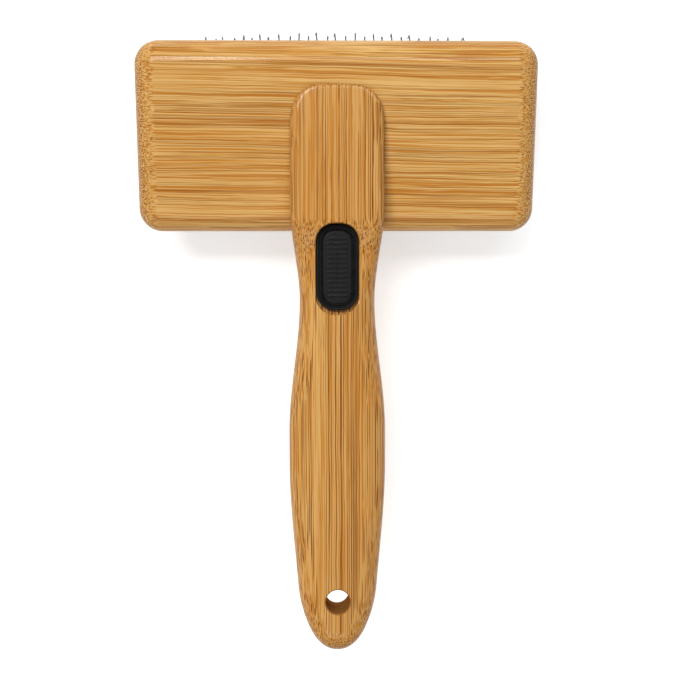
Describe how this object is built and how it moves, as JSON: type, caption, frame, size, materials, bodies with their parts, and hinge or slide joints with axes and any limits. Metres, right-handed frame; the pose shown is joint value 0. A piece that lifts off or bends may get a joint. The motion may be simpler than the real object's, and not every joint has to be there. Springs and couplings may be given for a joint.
{
  "type": "slicker brush",
  "caption": "Wooden slicker brush: a wide flat head with a cushioned pad of bent wire pins, and a contoured handle with a rubber thumb rest and a hanging hole.",
  "frame": {"origin": "centre of the bounding box's bottom face, under the points of the middle pins", "axes": "+Z from the pins' points towards the back of the head, which lies level; +Y from the handle's tail towards the head; +X along the head's width"},
  "size_m": [0.127, 0.194, 0.066],
  "materials": {
    "head_bamboo": "satin lacquered bamboo, grain across the head",
    "handle_bamboo": "satin lacquered bamboo, grain along the handle",
    "black_rubber": "matte moulded rubber",
    "screw_steel": "zinc plated",
    "foam": "closed cell foam",
    "sheet_rubber": "rubber sheet on woven cloth",
    "pin_steel": "drawn stainless wire"
  },
  "bodies": {
    "root": {"head_block": "head_bamboo", "handle": "handle_bamboo", "thumb_rest": "black_rubber", "handle_screw_1": "screw_steel", "handle_screw_2": "screw_steel", "foam_cushion": "foam", "pin_sheet": "sheet_rubber", "pin_row_01": "pin_steel", "pin_row_02": "pin_steel", "pin_row_03": "pin_steel", "pin_row_04": "pin_steel", "pin_row_05": "pin_steel", "pin_row_06": "pin_steel", "pin_row_07": "pin_steel", "pin_row_08": "pin_steel", "pin_row_09": "pin_steel", "pin_row_10": "pin_steel", "pin_row_11": "pin_steel", "pin_row_12": "pin_steel", "pin_row_13": "pin_steel", "pin_row_14": "pin_steel", "pin_row_15": "pin_steel", "pin_row_16": "pin_steel"}
  },
  "joints": []
}
